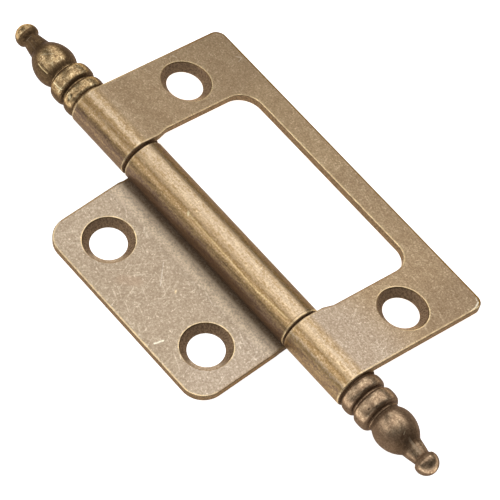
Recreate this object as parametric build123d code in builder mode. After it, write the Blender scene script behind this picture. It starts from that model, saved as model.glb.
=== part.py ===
from build123d import *
import os
from math import asin, atan2, degrees, hypot

# Open cabinet hinge that needs no mortise, in millimetres.
# Two sheet leaves are rolled round one pin, and the narrow inner leaf folds into the outer leaf's window.
# X runs along the pin, Y from the inner leaf towards the outer leaf, and Z up.
# The origin is midway between the inner leaf's screw holes, on the face that is screwed down.

# Sheet and barrel
sheet_thickness = 1.24
barrel_radius = 3.58
seam_gap = 0.2
edge_radius = 0.3
rim_radius = 0.15

# Inner leaf, measured from the pin's axis to its free edge
inner_leaf_length = 37.85
inner_leaf_width = 19.3
inner_corner_radius = 3.9
inner_hole_edge_distance = 7.2
inner_hole_shift = 0.2
inner_relief = 0.2
inner_relief_start = 3.7
inner_relief_run = 0.9

# Outer leaf, with a window that clears the inner leaf
window_side_clearance = 0.82
window_far_clearance = 2.05
window_corner_radius = 3.6
window_bar_width = 4.38
arm_width = 12.005
outer_corner_radius = 1.7
outer_hole_from_pin = 13.75
knuckle_end_play = 0.54
shoulder_start = 3.0
shoulder_run = 1.8
shoulder_radius = 2.0
side_shift = 0.06

# Countersunk screw holes, the same in both leaves
screw_hole_radius = 2.92
countersink_radius = 4.11
hole_land = 0.17

# Pin, gripped in the end knuckles and free in the centre knuckle
pin_clearance = 0.05
pin_grip_setback = 1.0
pin_end_gap = 0.4
pin_chamfer = 0.4

# Finial, with lengths measured outwards from the end of the barrel
stub_length = 6.0
stub_chamfer = 0.4
neck_radius = 3.2
neck_length = 0.4
first_bead_length = 2.3
bead_groove_radius = 3.0
bead_groove_length = 0.2
second_bead_length = 3.15
lip_foot_radius = 2.7
lip_length = 0.45
lip_height = 0.15
pear_start_radius = 2.6
pear_radius = 3.3
pear_back_length = 2.2
pear_front_length = 3.6
cone_start_radius = 1.85
cone_end_radius = 1.32
cone_length = 2.5
ball_radius = 1.93
ball_back_length = 0.95

# Sizes that follow from the ones above
knuckle_bore_radius = barrel_radius - sheet_thickness
inner_knuckle_length = inner_leaf_length - 2 * inner_relief
inner_hole_from_pin = inner_leaf_width - inner_hole_edge_distance
inner_hole_spacing = inner_leaf_length - 2 * inner_hole_edge_distance
window_length = inner_leaf_length + 2 * window_side_clearance
window_far_edge = inner_leaf_width + window_far_clearance
outer_leaf_length = window_length + 2 * arm_width
outer_leaf_width = window_far_edge + window_bar_width
outer_hole_spacing = window_length + arm_width
knuckle_gap_length = inner_knuckle_length + 2 * knuckle_end_play
countersink_angle = 2 * degrees(atan2(countersink_radius - screw_hole_radius, sheet_thickness - hole_land))
pin_free_radius = knuckle_bore_radius - pin_clearance
pin_free_length = knuckle_gap_length + 2 * pin_grip_setback
pin_length = outer_leaf_length - 2 * (stub_length + pin_end_gap)

# The pin's axis lies over the screwed face by the barrel's radius
inner_centre = Vector(inner_hole_shift, inner_hole_from_pin, barrel_radius)
outer_centre = inner_centre - Vector(side_shift, 0, 0)

# The outer leaf tips down until its free edge meets the plane of the screwed face
outer_edge_reach = hypot(outer_leaf_width, knuckle_bore_radius)
droop_angle = degrees(atan2(knuckle_bore_radius, outer_leaf_width) + asin(barrel_radius / outer_edge_reach))

match_tolerance = 0.001

os.makedirs("parts", exist_ok=True)


def leaf_planes(centre, turn):
    """Return a leaf's flat plane, with Y away from the pin, and the plane for drawing its edge view."""
    flat = Plane(Location(centre, (turn, 0, 0)))
    side = Plane(origin=flat.origin, x_dir=flat.y_dir, z_dir=flat.x_dir)
    return flat, side


def rolled_section(leaf_width):
    """Draw the edge view of a leaf: a flat sheet that runs on round the pin until it meets itself."""
    seam_angle = degrees(asin((knuckle_bore_radius - seam_gap) / barrel_radius))
    wrap = 270 + seam_angle
    with BuildSketch() as section:
        with BuildLine():
            Line((leaf_width, barrel_radius), (0, barrel_radius))
            outside = CenterArc((0, 0), barrel_radius, 90, wrap)
            inside = CenterArc((0, 0), knuckle_bore_radius, 90 + wrap, -wrap)
            Line(outside @ 1, inside @ 0)
            Line((0, knuckle_bore_radius), (leaf_width, knuckle_bore_radius))
            Line((leaf_width, knuckle_bore_radius), (leaf_width, barrel_radius))
        make_face()
    return section.sketch


def window_outline():
    """Draw the punched hole: the window, narrowed by a shoulder to the gap for the centre knuckle."""
    with BuildSketch() as outline:
        with BuildLine():
            half_window = Polyline(
                (0, -2 * barrel_radius),
                (knuckle_gap_length / 2, -2 * barrel_radius),
                (knuckle_gap_length / 2, shoulder_start),
                (window_length / 2, shoulder_start + shoulder_run),
                (window_length / 2, window_far_edge),
                (0, window_far_edge),
            )
            mirror(half_window, about=Plane.YZ)
        window = make_face()
        rows = window.vertices().group_by(Axis.Y)
        fillet(rows[1] + rows[2], shoulder_radius)
        fillet(outline.vertices().group_by(Axis.Y)[-1], window_corner_radius)
    return outline.sketch


def inner_outline():
    """Draw the inner leaf's punched outline, a little narrower where it runs into the centre knuckle."""
    with BuildSketch() as outline:
        with BuildLine():
            half_leaf = Polyline(
                (0, -2 * barrel_radius),
                (inner_knuckle_length / 2, -2 * barrel_radius),
                (inner_knuckle_length / 2, inner_relief_start),
                (inner_leaf_length / 2, inner_relief_start + inner_relief_run),
                (inner_leaf_length / 2, inner_leaf_width),
                (0, inner_leaf_width),
            )
            mirror(half_leaf, about=Plane.YZ)
        leaf = make_face()
        fillet(leaf.vertices().group_by(Axis.Y)[-1], inner_corner_radius)
    return outline.sketch


def flat_face_outline(leaf, flat, height):
    """Select the outline of a sheet's face, less its line on the roll, at a height over the pin's axis."""
    face = leaf.faces().filter_by(GeomType.PLANE).filter_by(
        lambda f: abs(flat.to_local_coords(f.center()).Z - height) < match_tolerance
    )
    return face.edges().filter_by(
        lambda e: abs(flat.to_local_coords(e.center()).Y) > match_tolerance
    )


def roll_ends(leaf, radius):
    """Select the round edges at the ends of a leaf's knuckles."""
    return leaf.edges().filter_by(GeomType.CIRCLE).filter_by(
        lambda e: abs(e.radius - radius) < match_tolerance and e.bounding_box().size.X < match_tolerance
    )


outer_flat, outer_side = leaf_planes(outer_centre, -droop_angle)
inner_flat, inner_side = leaf_planes(inner_centre, 180)

# Outer leaf: the window cuts the sheet, and the knuckle gap cuts the roll beneath it
with BuildPart() as outer_leaf:
    with BuildSketch(outer_side):
        add(rolled_section(outer_leaf_width))
    extrude(amount=outer_leaf_length / 2, both=True)
    with BuildSketch(outer_flat.offset(-barrel_radius)):
        Rectangle(knuckle_gap_length, 4 * barrel_radius)
    extrude(amount=2 * barrel_radius, mode=Mode.SUBTRACT)
    with BuildSketch(outer_flat.offset(knuckle_bore_radius - seam_gap / 2)):
        add(window_outline())
    extrude(amount=2 * sheet_thickness, mode=Mode.SUBTRACT)
    corner_edges = outer_leaf.edges().filter_by(Axis(outer_flat.origin, outer_flat.z_dir))
    fillet(corner_edges.group_by(Axis(outer_flat.origin, outer_flat.y_dir))[-1], outer_corner_radius)
    outer_top = flat_face_outline(outer_leaf, outer_flat, barrel_radius)
    fillet(outer_top + roll_ends(outer_leaf, barrel_radius), edge_radius)
    with Locations(outer_flat.offset(barrel_radius)):
        with Locations([(side * outer_hole_spacing / 2, outer_hole_from_pin) for side in (-1, 1)]):
            CounterSinkHole(screw_hole_radius, countersink_radius, sheet_thickness, countersink_angle)

outer_leaf.part.label = "outer_leaf"
export_step(outer_leaf.part, "parts/outer_leaf.step")

# Inner leaf: turned over, so that its sheet runs under the barrel and lies flat
with BuildPart() as inner_leaf:
    with BuildSketch(inner_side):
        add(rolled_section(inner_leaf_width))
    extrude(amount=inner_leaf_length / 2, both=True)
    with BuildSketch(inner_flat):
        add(inner_outline())
    extrude(amount=2 * barrel_radius, both=True, mode=Mode.INTERSECT)
    fillet(flat_face_outline(inner_leaf, inner_flat, knuckle_bore_radius), edge_radius)
    fillet(roll_ends(inner_leaf, barrel_radius), rim_radius)
    with Locations(Plane.XY.offset(sheet_thickness)):
        with Locations([(side * inner_hole_spacing / 2, 0) for side in (-1, 1)]):
            CounterSinkHole(screw_hole_radius, countersink_radius, sheet_thickness, countersink_angle)

inner_leaf.part.label = "inner_leaf"
export_step(inner_leaf.part, "parts/inner_leaf.step")

# Pin: one turned rod, full size where the end knuckles grip it
with BuildPart() as hinge_pin:
    with BuildSketch(outer_side.offset(-pin_length / 2)):
        Circle(knuckle_bore_radius)
    extrude(amount=pin_length)
    chamfer(hinge_pin.edges().filter_by(GeomType.CIRCLE), pin_chamfer)
    with BuildSketch(outer_side.offset(-pin_free_length / 2)):
        Circle(knuckle_bore_radius)
        Circle(pin_free_radius, mode=Mode.SUBTRACT)
    extrude(amount=pin_free_length, mode=Mode.SUBTRACT)

hinge_pin.part.label = "hinge_pin"
export_step(hinge_pin.part, "parts/hinge_pin.step")


def finial_section():
    """Draw half of the finial's section, with X outwards from the end of the barrel and Y as the radius."""
    first_bead_start = neck_length
    first_bead_end = first_bead_start + first_bead_length
    second_bead_start = first_bead_end + bead_groove_length
    second_bead_end = second_bead_start + second_bead_length
    lip_end = second_bead_end + lip_length
    pear_crown = lip_end + pear_back_length
    pear_end = pear_crown + pear_front_length
    cone_end = pear_end + cone_length
    ball_crown = cone_end + ball_back_length
    ball_end = ball_crown + ball_radius
    with BuildSketch() as section:
        with BuildLine():
            Polyline(
                (0, 0),
                (-stub_length, 0),
                (-stub_length, knuckle_bore_radius - stub_chamfer),
                (stub_chamfer - stub_length, knuckle_bore_radius),
                (0, knuckle_bore_radius),
                (0, neck_radius),
                (first_bead_start, neck_radius),
            )
            ThreePointArc(
                (first_bead_start, neck_radius),
                (first_bead_start + first_bead_length / 2, barrel_radius),
                (first_bead_end, bead_groove_radius),
            )
            Line((first_bead_end, bead_groove_radius), (second_bead_start, bead_groove_radius))
            ThreePointArc(
                (second_bead_start, bead_groove_radius),
                (second_bead_start + second_bead_length / 2, barrel_radius),
                (second_bead_end, lip_foot_radius),
            )
            ThreePointArc(
                (second_bead_end, lip_foot_radius),
                (second_bead_end + lip_length / 2, lip_foot_radius + lip_height),
                (lip_end, pear_start_radius),
            )
            TangentArc((pear_crown, pear_radius), (lip_end, pear_start_radius), tangent=(-1, 0))
            TangentArc((pear_crown, pear_radius), (pear_end, cone_start_radius), tangent=(1, 0))
            Line((pear_end, cone_start_radius), (cone_end, cone_end_radius))
            TangentArc((ball_crown, ball_radius), (cone_end, cone_end_radius), tangent=(-1, 0))
            CenterArc((ball_crown, 0), ball_radius, 0, 90)
            Line((ball_end, 0), (0, 0))
        make_face()
    return section.sketch


# Finials: one turned casting at each end, with its stub pressed into the end knuckle
for name, outwards in (("left_finial", -1), ("right_finial", 1)):
    barrel_end = outer_centre + Vector(outwards * outer_leaf_length / 2, 0, 0)
    with BuildPart() as finial:
        with BuildSketch(Plane(origin=barrel_end, x_dir=(outwards, 0, 0), z_dir=(0, -outwards, 0))):
            add(finial_section())
        revolve(axis=Axis(barrel_end, (outwards, 0, 0)))
    finial.part.label = name
    export_step(finial.part, "parts/" + name + ".step")
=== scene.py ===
"""Open cabinet hinge in antique brass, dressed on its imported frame.

Each leaf is worked out as the flat blank that a press would punch, in coordinates x along the pin,
s away from the pin and h through the sheet, and is then bent round the pin as a whole array.
Lengths in the classes are millimetres; meshes are written in metres.
"""

from __future__ import annotations

import logging
import math
from dataclasses import dataclass, field
from enum import Enum

import bpy
import numpy as np
from mathutils import Matrix, Vector
from mathutils.geometry import delaunay_2d_cdt


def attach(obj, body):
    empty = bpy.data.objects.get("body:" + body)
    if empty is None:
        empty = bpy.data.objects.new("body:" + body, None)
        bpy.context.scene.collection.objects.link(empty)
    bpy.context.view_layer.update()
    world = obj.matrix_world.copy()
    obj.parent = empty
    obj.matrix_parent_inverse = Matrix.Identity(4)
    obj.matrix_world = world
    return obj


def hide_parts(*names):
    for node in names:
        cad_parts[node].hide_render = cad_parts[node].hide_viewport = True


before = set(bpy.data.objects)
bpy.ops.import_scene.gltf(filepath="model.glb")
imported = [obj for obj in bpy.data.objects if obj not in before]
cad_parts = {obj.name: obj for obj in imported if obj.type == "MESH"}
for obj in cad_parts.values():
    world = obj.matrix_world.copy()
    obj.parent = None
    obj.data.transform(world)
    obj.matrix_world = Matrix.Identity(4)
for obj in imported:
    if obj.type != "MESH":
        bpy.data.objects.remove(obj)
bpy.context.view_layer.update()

LOG = logging.getLogger("hinge")
MM = 0.001  # metres to a millimetre
MAP_NAME = "Blank"  # each piece's own map
MAP_SCALE = 0.01  # units of that map to a millimetre
SNAP = 1e-6  # points nearer to a level than this are put on it
SAME = 1e-7  # points nearer to each other than this are one
AXIS = (12.1, 3.58)  # y and z of the pin's axis
OUTER_MIDDLE = 0.14  # x of the outer leaf's middle
OUTER_HALF = 31.75  # half the outer leaf's length
FRONT = (0.745, -0.667)  # way along the floor to the front
SQUEEZE = (0.07, 1.0, 1.0)  # how streaks squeeze the place that they are read at

Array = np.ndarray
Pair = tuple[float, float]
Triple = tuple[float, float, float]
Colour = Triple
Stops = tuple[tuple[float, Colour], ...]
Levels = tuple[Pair, ...]
Socket = bpy.types.NodeSocket
Feed = Socket | float | Triple
Inputs = dict[str | int, Feed]
Outputs = bpy.types.bpy_prop_collection


class Side(Enum):
    """The two ends of the barrel, as signs along the pin."""

    LEFT = -1
    RIGHT = 1


class Slot(Enum):
    """The record's material slots."""

    LEAF = "leaf_brass"
    FINIAL = "finial_brass"
    PIN = "pin_steel"


# Curves


def smooth(low: float, high: float, value: Array) -> Array:
    """Ease from 0 at low to 1 at high: t * t * (3 - 2 t), with t the clipped share of the way."""
    t = np.clip((value - low) / (high - low), 0.0, 1.0)
    return t * t * (3.0 - 2.0 * t)


def circle(steps: int) -> Array:
    """Give the angles of evenly spaced points round a circle."""
    return np.linspace(0.0, 2 * math.pi, steps, endpoint=False)


def mirrored(columns: Array) -> Array:
    """Lay columns that run from a face to the middle of an edge out again to the other face."""
    return np.concatenate([columns, columns[:, ::-1]], 1)


def rounded_path(points: Array, radii: Array, closed: bool, steps: int) -> tuple[Array, Array]:
    """Round the corners of a polyline with arcs that touch both of its sides.

    At a corner that turns by an angle a, an arc of radius r starts r * tan(a / 2) before the corner,
    and its points are the start turned about the arc's centre by equal shares of a.

    Args:
        points: Corners, one per row.
        radii: Radius at each corner; the ends of an open path use none.
        closed: Whether the last corner runs on to the first.
        steps: Arc steps per corner.

    Returns:
        Points along the path and their unit normals, on the right of the way travelled.
    """
    before, after = np.roll(points, 1, 0), np.roll(points, -1, 0)
    if not closed:
        before[0], after[-1] = 2 * points[0] - points[1], 2 * points[-1] - points[-2]
    into = (points - before) / np.linalg.norm(points - before, axis=1)[:, None]
    out = (after - points) / np.linalg.norm(after - points, axis=1)[:, None]
    turn = np.arctan2(into[:, 0] * out[:, 1] - into[:, 1] * out[:, 0], (into * out).sum(1))
    reach = radii * np.tan(np.abs(turn) / 2)
    start = points - into * reach[:, None]
    left = np.stack([-into[:, 1], into[:, 0]], 1)
    centre = start + left * (np.sign(turn) * radii)[:, None]
    angle = turn[:, None] * np.linspace(0.0, 1.0, steps + 1)[None, :]
    cos, sin = np.cos(angle), np.sin(angle)

    def turned(vector: Array) -> Array:
        """Turn one vector per corner by every angle of its arc."""
        x, y = vector[:, 0, None], vector[:, 1, None]
        return np.stack([x * cos - y * sin, x * sin + y * cos], -1)

    path = (centre[:, None, :] + turned(start - centre)).reshape(-1, 2)
    way = turned(into).reshape(-1, 2)
    return path, np.stack([way[:, 1], -way[:, 0]], 1)


def cut_at_levels(path: Array, normals: Array, levels: Array) -> tuple[Array, Array]:
    """Add a point wherever a closed path crosses one of the levels of its second coordinate.

    A crossing of the segment from a to b lies at a + t (b - a), with t = (level - a_s) / (b_s - a_s).

    Args:
        path: Points of the closed path.
        normals: Their unit normals.
        levels: Values of the second coordinate to cut at.

    Returns:
        The path and normals with the crossings put in, in order.
    """
    nearest = levels[np.abs(path[:, 1, None] - levels[None, :]).argmin(1)]
    path = path.copy()
    path[:, 1] = np.where(np.abs(path[:, 1] - nearest) < SNAP, nearest, path[:, 1])
    end, end_normals = np.roll(path, -1, 0), np.roll(normals, -1, 0)
    rise = (end - path)[:, 1, None]
    with np.errstate(divide="ignore", invalid="ignore"):
        share = (levels[None, :] - path[:, 1, None]) / rise
    hit = (np.abs(rise) > 0) & (share > SNAP) & (share < 1 - SNAP)
    segment, level = np.nonzero(hit)
    t = share[segment, level][:, None]
    crossing = path[segment] + t * (end - path)[segment]
    crossing[:, 1] = levels[level]
    crossing_normals = normals[segment] * (1 - t) + end_normals[segment] * t
    place = np.concatenate([np.arange(len(path), dtype=float), segment + t[:, 0]])
    order = np.argsort(place, kind="stable")
    joined = np.concatenate([path, crossing])[order]
    joined_normals = np.concatenate([normals, crossing_normals])[order]
    keep = np.linalg.norm(joined - np.roll(joined, 1, 0), axis=1) > SAME
    joined_normals /= np.linalg.norm(joined_normals, axis=1)[:, None]
    return joined[keep], joined_normals[keep]


# Meshes


def add_object(name: str, data: bpy.types.ID) -> bpy.types.Object:
    """Put data into the scene as a new object.

    Args:
        name: Name of the object.
        data: Mesh, lamp or camera that it shows.

    Returns:
        The object.
    """
    thing = bpy.data.objects.new(name, data)
    bpy.context.scene.collection.objects.link(thing)
    return thing


def weld(points: Array, cell: float = 1e-3) -> tuple[Array, Array]:
    """Find points that lie in the same place.

    Each point takes the lowest number among those in its cell of a fine lattice, and then in its
    cell of the same lattice shifted by half a cell, so that no pair is parted by a cell's wall.

    Args:
        points: Places to compare.
        cell: Size of a cell.

    Returns:
        The first point of each group, and the group that each point belongs to.
    """
    label = np.arange(len(points))
    for shift in (0.0, 0.5, 0.0):
        cells = np.floor(points / cell + shift).astype(np.int64)
        group = np.unique(cells, axis=0, return_inverse=True)[1].reshape(-1)
        lowest = np.full(group.max() + 1, len(points))
        np.minimum.at(lowest, group, label)
        label = lowest[group]
    label = label[label]
    first, number = np.unique(label, return_inverse=True)
    return first, number.reshape(-1)


@dataclass
class Shell:
    """Surfaces gathered into one welded mesh with its own corner normals.

    Attributes:
        points: Vertex places of each surface, in millimetres of the shared frame.
        normals: Unit normals of the same vertices.
        places: The flat coordinates of each vertex, kept as the piece's own map.
        masks: Named values from 0 to 1 on the vertices.
        triangles: Corner numbers of each surface's triangles.
    """

    points: list[Array] = field(default_factory=list)
    normals: list[Array] = field(default_factory=list)
    places: list[Array] = field(default_factory=list)
    masks: dict[str, list[Array]] = field(default_factory=dict)
    triangles: list[Array] = field(default_factory=list)

    def add(
        self, points: Array, normals: Array, places: Array, triangles: Array, masks: dict[str, Array]
    ) -> None:
        """Put in one surface.

        Args:
            points: Vertex places.
            normals: Unit normals.
            places: Flat coordinates.
            triangles: Triangles within this surface.
            masks: Values of each mask on the vertices; a mask left out is 0.
        """
        first = sum(len(p) for p in self.points)
        for name in {**self.masks, **masks}:
            rows = self.masks.setdefault(name, [np.zeros(len(p)) for p in self.points])
            rows.append(np.broadcast_to(masks.get(name, 0.0), len(points)).astype(float))
        self.points.append(points)
        self.normals.append(normals)
        self.places.append(places)
        self.triangles.append(triangles + first)

    def build(self, name: str) -> bpy.types.Object:
        """Weld the surfaces and write the mesh, keeping each surface's normals at its corners.

        Args:
            name: Name of the piece.

        Returns:
            The new object, at the origin.
        """
        points, normals = np.concatenate(self.points), np.concatenate(self.normals)
        places, triangles = np.concatenate(self.places), np.concatenate(self.triangles)
        first, number = weld(points)
        corners = number[triangles]
        real = (corners != np.roll(corners, 1, 1)).all(1)
        corners, triangles = corners[real], triangles[real]
        mesh = bpy.data.meshes.new(name)
        mesh.vertices.add(len(first))
        mesh.vertices.foreach_set("co", (points[first] * MM).astype(np.float32).ravel())
        mesh.loops.add(corners.size)
        mesh.loops.foreach_set("vertex_index", corners.astype(np.int32).ravel())
        mesh.polygons.add(len(corners))
        mesh.polygons.foreach_set("loop_start", np.arange(0, corners.size, 3, dtype=np.int32))
        mesh.polygons.foreach_set("loop_total", np.full(len(corners), 3, np.int32))
        mesh.update(calc_edges=True)
        mesh.shade_smooth()
        layer = mesh.uv_layers.new(name=MAP_NAME)
        layer.data.foreach_set("uv", (places[triangles.ravel()] * MAP_SCALE).astype(np.float32).ravel())
        for mask, rows in self.masks.items():
            values = np.concatenate(rows)[first].astype(np.float32)
            mesh.attributes.new(mask, "FLOAT", "POINT").data.foreach_set("value", values)
        mesh.normals_split_custom_set(normals[triangles.ravel()].tolist())
        return add_object(name, mesh)


def grid_triangles(rows: int, columns: int, wrap: bool) -> Array:
    """Number the triangles of a grid whose vertices run row by row.

    Args:
        rows: Vertex rows.
        columns: Vertex columns.
        wrap: Whether the last row joins the first.

    Returns:
        Triangles, two to a cell, that face along row direction crossed with column direction.
    """
    r, c = np.meshgrid(np.arange(rows if wrap else rows - 1), np.arange(columns - 1), indexing="ij")
    a = r * columns + c
    b = ((r + 1) % rows) * columns + c
    halves = np.stack([a, b, b + 1], -1), np.stack([a, b + 1, a + 1], -1)
    return np.concatenate([half.reshape(-1, 3) for half in halves])


# Leaves


@dataclass
class RolledLeaf:
    """A punched sheet leaf with knuckles rolled round the pin.

    The blank lies in coordinates x, s and h. Where s is above 0 the sheet is flat, and below 0 it
    is wound round the pin's axis: the angle is -s over the neutral radius and the radius is bore + h.

    Attributes:
        name: Name of the piece and of the CAD node that it stands for.
        body: CAD body that it rides on.
        centre: Point of the pin's axis midway along the leaf.
        turn: Turn of the leaf about the pin, in degrees.
        width: Reach of the sheet from the pin's axis.
        hole_half_spacing: Half the distance between its screw holes.
        hole_from_pin: Distance of the holes from the pin's axis.
        sinks_outside: Whether the countersinks open on the outside of the roll.
        bright_way: Unit way on the blank that its bright edges face, rubbed and given a painted glint; the
            edges behind get painted shade.
        sink_way: Unit way on the blank from a countersink's bright rim, rubbed and given a painted glint, to
            its middle.
        outside_round: Edge radius on the outside of the roll, on the flat and on the roll.
        inside_round: Edge radius on the inside of the roll, on the flat and on the roll.
        thickness: Thickness of the sheet.
        bore: Inner radius of the roll.
        seam_gap: Gap between the roll's end and the sheet.
        hole_radius: Radius of the screw holes.
        sink_radius: Radius of the countersinks at the face.
        hole_land: Straight part of a screw hole under its cone.
        tab_round: Corner radius of a rolled tab's end.
        border: Strip of each face, beside an edge, that the edge mask can fade into.
        arc_steps: Steps to a corner of the outline.
        edge_steps: Steps to an edge round.
        hole_steps: Steps round a screw hole.
        corner_steps: Steps to a round of a hole's edge view.
        roll_step: Degrees of the roll to a strip.
    """

    name: str
    body: str
    centre: Triple
    turn: float
    width: float
    hole_half_spacing: float
    hole_from_pin: float
    sinks_outside: bool
    bright_way: Pair
    sink_way: Pair
    outside_round: Pair = (0.14, 0.2)
    inside_round: Pair = (0.08, 0.08)
    thickness: float = 1.24
    bore: float = 2.34
    seam_gap: float = 0.2
    hole_radius: float = 2.92
    sink_radius: float = 4.11
    hole_land: float = 0.17
    tab_round: float = 0.35
    border: float = 0.2
    arc_steps: int = 12
    edge_steps: int = 6
    hole_steps: int = 96
    corner_steps: int = 6
    roll_step: float = 4.0

    @property
    def neutral(self) -> float:
        """Radius at which the sheet keeps its length as it bends."""
        return self.bore + self.thickness / 2

    @property
    def wrap(self) -> float:
        """Angle of the roll in radians, up to where its end meets the sheet."""
        return math.radians(270) + math.asin((self.bore - self.seam_gap) / (self.bore + self.thickness))

    @property
    def roll_length(self) -> float:
        """Length of the rolled tab on the blank."""
        return self.wrap * self.neutral

    @property
    def levels(self) -> Array:
        """Values of s at which the roll is divided."""
        count = int(math.degrees(self.wrap) / self.roll_step)
        return -np.linspace(0.0, self.roll_length - 1.0, count)

    def outline(self) -> tuple[Array, Array]:
        """Corners of the blank and their radii, each sub-assembly's own."""
        raise NotImplementedError

    def bend(self, flat: Array, normals: Array) -> tuple[Array, Array]:
        """Bend the blank round the pin and put it in its place.

        With p = max(-s, 0) over the neutral radius and r = bore + h, a rolled point is at
        w = -r sin p and z = r cos p from the axis, and a flat one at w = s and z = r.
        The sheet's own directions turn by the same p.

        Args:
            flat: Points x, s, h.
            normals: Their unit normals in the same coordinates.

        Returns:
            Points and normals in the shared frame.
        """
        x, s, h = flat.T
        angle = np.maximum(-s, 0.0) / self.neutral
        radius = self.bore + h
        cos, sin = np.cos(angle), np.sin(angle)
        w, z = np.where(s > 0, s, -radius * sin), radius * cos
        nx, ns, nh = normals.T
        nw, nz = ns * cos - nh * sin, ns * sin + nh * cos
        a = math.radians(self.turn)
        ways = np.array([[1.0, 0.0, 0.0], [0.0, math.cos(a), math.sin(a)], [0.0, -math.sin(a), math.cos(a)]])
        placed = np.stack([x, w, z], 1) @ ways + np.array(self.centre)
        facing = np.stack([nx, nw, nz], 1) @ ways
        return placed, facing / np.linalg.norm(facing, axis=1)[:, None]

    def rounds(self, s: Array) -> tuple[Array, Array]:
        """Edge radii outside and inside the roll, eased from the roll's value to the flat's near the pin.

        Args:
            s: Distances from the pin on the blank.

        Returns:
            The radius of the outer edge and that of the inner edge at each distance.
        """
        share = smooth(0.4, 2.6, s)
        out, inside = (roll + (flat - roll) * share for flat, roll in (self.outside_round, self.inside_round))
        return out, inside

    def border_width(self, s: Array) -> Array:
        """Width of the border on each face, narrowed at the small corners of the roll's end."""
        return 0.02 + self.border * smooth(0.6 - self.roll_length, 2.0 - self.roll_length, s)

    def shade_behind(self, path: Array, normals: Array) -> Array:
        """Share of painted shade left on the edge: none where it faces bright_way, all of it behind.

        Args:
            path: Outline of the blank.
            normals: Its outward normals.

        Returns:
            Values from 0 to 1, with none on the roll.
        """
        return smooth(0.35, -0.45, normals @ np.array(self.bright_way)) * (path[:, 1] >= 0.5)

    def rim(self, shell: Shell, path: Array, normals: Array) -> None:
        """Carry the edge's rounded profile along the outline.

        Across the edge, the offset from the outline and the height follow a quarter circle of the
        outer radius, the straight wall, and a quarter circle of the inner radius, and each face has
        a border of two strips so that the edge mask can fade into it. The edge mask is rubbed
        brightness with a painted glint, brightest on the rounds of edges that face bright_way; the wall
        mask lies between them, and the far mask is painted shade on the edges behind, halved on
        the wall.

        Args:
            shell: Mesh being gathered.
            path: Outline of the blank.
            normals: Its outward normals.
        """
        out, inside = (r[:, None] for r in self.rounds(path[:, 1]))
        strips = self.border_width(path[:, 1])[:, None] * np.array([[1.0, 0.6]])
        turn = np.linspace(0.0, math.pi / 2, self.edge_steps + 1)[None, :]
        sin, cos = np.sin(turn), np.cos(turn)
        one = np.ones_like(out)
        flat = np.repeat(one, 2, 1)
        offset = np.concatenate(
            [-(out + strips), -out + out * sin, -inside + inside * cos, -(inside + strips[:, ::-1])], 1
        )
        top = self.thickness
        height = np.concatenate([top * flat, top - out + out * cos, inside - inside * sin, 0 * flat], 1)
        side = np.concatenate([0 * flat, sin * one, cos * one, 0 * flat], 1)
        rise = np.concatenate([flat, cos * one, -sin * one, -flat], 1)
        on_wall = smooth(0.45, 0.9, sin)
        # Painted shade goes on the edges behind; the edges that face bright_way get a painted glint.
        left = self.shade_behind(path, normals)[:, None]
        glint = (0.85 + 0.15 * np.sin(2 * turn)) * (1 - 0.95 * on_wall)
        wear = mirrored(np.concatenate([0 * one, 0.4 * one, one * glint], 1)) * (1 - smooth(0.0, 0.3, left))
        wear = wear * (0.6 + 0.3 * smooth(-0.5, 0.5, path[:, 1]))[:, None]
        wall = mirrored(np.concatenate([0 * flat, one * on_wall], 1))
        far = mirrored(np.concatenate([0 * one, left, left * (1 - 0.5 * smooth(0.7, 1.0, sin))], 1))
        across = normals[:, None, :]
        flat = np.concatenate([path[:, None, :] + offset[..., None] * across, height[..., None]], -1)
        facing = np.concatenate([side[..., None] * across, rise[..., None]], -1)
        flat = flat.reshape(-1, 3)
        points, facing = self.bend(flat, facing.reshape(-1, 3))
        triangles = grid_triangles(len(path), offset.shape[1], wrap=True)
        masks = {"edge": wear.ravel(), "wall": wall.ravel(), "far": far.ravel()}
        shell.add(points, facing, flat[:, :2], triangles[:, ::-1], masks)

    def holes(self) -> list[Pair]:
        """Places of the screw holes on the blank."""
        return [(sign * self.hole_half_spacing, self.hole_from_pin) for sign in (-1, 1)]

    def sink_profile(self) -> tuple[Array, Array, Array]:
        """Edge view of a countersunk hole: radius and depth, their normals, and the rubbed brightness with
        its painted glint on them.

        The polyline runs from the face down the cone, down the land and out onto the back, with its
        corners rounded. Three more points near the top of the cone let the masks fade there.

        Returns:
            Points, their unit normals and the share of rubbed, glinting metal at each.
        """
        deep = self.thickness - self.hole_land
        outer, inner = self.sink_radius, self.hole_radius
        depth = [0.0, 0.0, -deep, -self.thickness, -self.thickness]
        corners = np.stack([[outer + 1, outer, inner, inner, inner + 1], depth], 1)
        rounds = np.array([0.0, 0.11, 0.08, 0.05, 0.0])
        path, normals = rounded_path(corners, rounds, closed=False, steps=self.corner_steps)
        steps = self.corner_steps + 1
        path, normals = path[steps : 4 * steps], normals[steps : 4 * steps]
        ends = path[[0, -1]] + [[self.border, 0.0]]
        path = np.concatenate([ends[:1], path, ends[1:]])
        normals = np.concatenate([normals[:1], normals, normals[-1:]])
        cone = path[steps] + np.array([[0.09], [0.16], [0.6]]) * (path[steps + 1] - path[steps])
        path = np.insert(path, [steps + 1] * 3, cone, axis=0)
        normals = np.insert(normals, [steps + 1] * 3, normals[steps], axis=0)
        wear = np.zeros(len(path))
        wear[1 : steps + 1] = np.linspace(1.25, -0.35, steps).clip(0.0, 1.0)
        wear[steps + 4 : 2 * steps + 4] = 0.3 * np.sin(np.linspace(0.0, math.pi, steps))
        return path, normals, wear

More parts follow.
